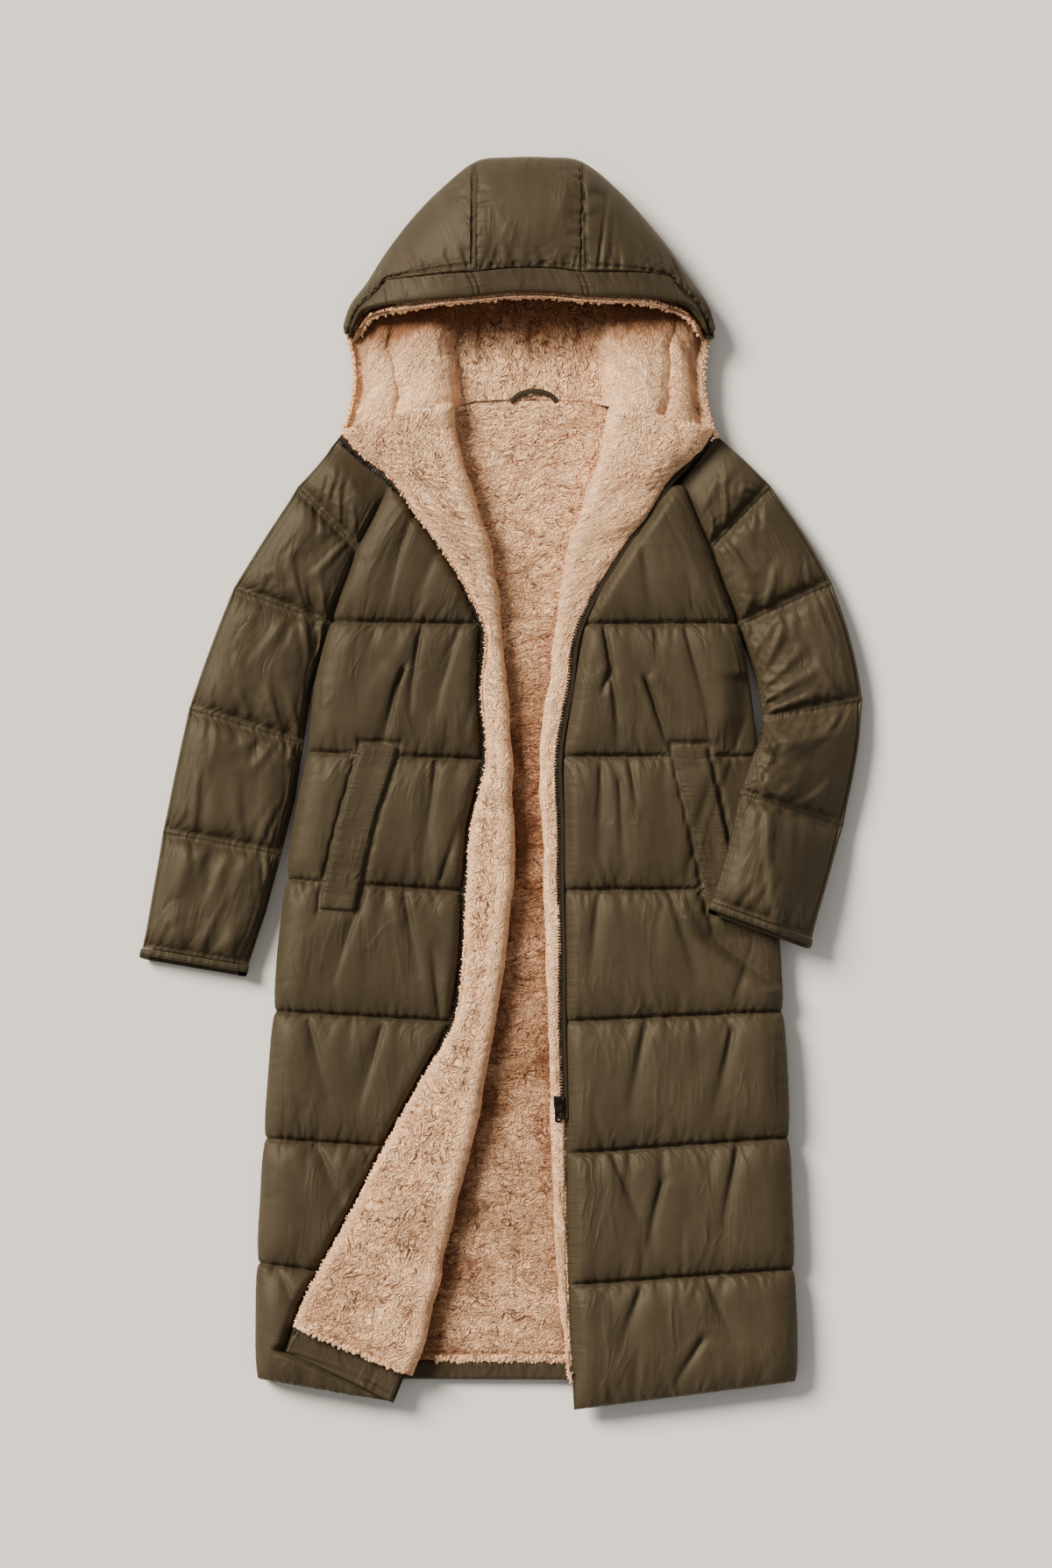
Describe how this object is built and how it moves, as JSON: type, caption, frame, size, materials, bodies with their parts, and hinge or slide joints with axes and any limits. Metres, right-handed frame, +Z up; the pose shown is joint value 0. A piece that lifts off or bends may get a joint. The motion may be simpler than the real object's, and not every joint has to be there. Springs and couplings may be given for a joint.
{
  "type": "long puffer coat",
  "caption": "Long hooded puffer coat with a fleece lining, laid flat and open, one front corner turned back to show the lining.",
  "frame": {"origin": "on the surface the coat lies on, under the middle of its outline", "axes": "+X to the wearer's left, +Y from the hem to the hood, +Z up from the surface"},
  "size_m": [0.8463, 1.469, 0.094],
  "materials": {
    "olive_satin_nylon": "woven nylon with a soft satin sheen over padding",
    "peach_sherpa_fleece": "curly sherpa fleece pile",
    "dark_zip_tape": "woven polyester tape",
    "blackened_brass": "blackened cast metal"
  },
  "bodies": {
    "coat": {"back_panel": "olive_satin_nylon", "back_lining": "peach_sherpa_fleece", "hem_facing_back": "olive_satin_nylon", "front_right": "olive_satin_nylon", "front_left": "olive_satin_nylon", "front_lining_right": "peach_sherpa_fleece", "front_lining_left": "peach_sherpa_fleece", "hem_facing_right": "olive_satin_nylon", "pocket_welt_right": "olive_satin_nylon", "pocket_welt_left": "olive_satin_nylon", "sleeve_right": "olive_satin_nylon", "cuff_right": "olive_satin_nylon", "sleeve_left": "olive_satin_nylon", "cuff_left": "olive_satin_nylon", "hood_side_right": "olive_satin_nylon", "hood_centre": "olive_satin_nylon", "hood_side_left": "olive_satin_nylon", "hood_brim": "olive_satin_nylon", "hood_lining": "peach_sherpa_fleece", "zip_tape_right": "dark_zip_tape", "zip_tape_left": "dark_zip_tape", "zip_slider": "blackened_brass", "hang_loop": "dark_zip_tape"},
    "pull": {"zip_pull": "blackened_brass"}
  },
  "joints": [
    {"name": "pull_tab_swing", "type": "hinge", "parent": "coat", "child": "pull", "pos_m": [0.066, -0.373, 0.0375], "axis": [-1, 0, 0], "range_deg": [0, 180]}
  ]
}
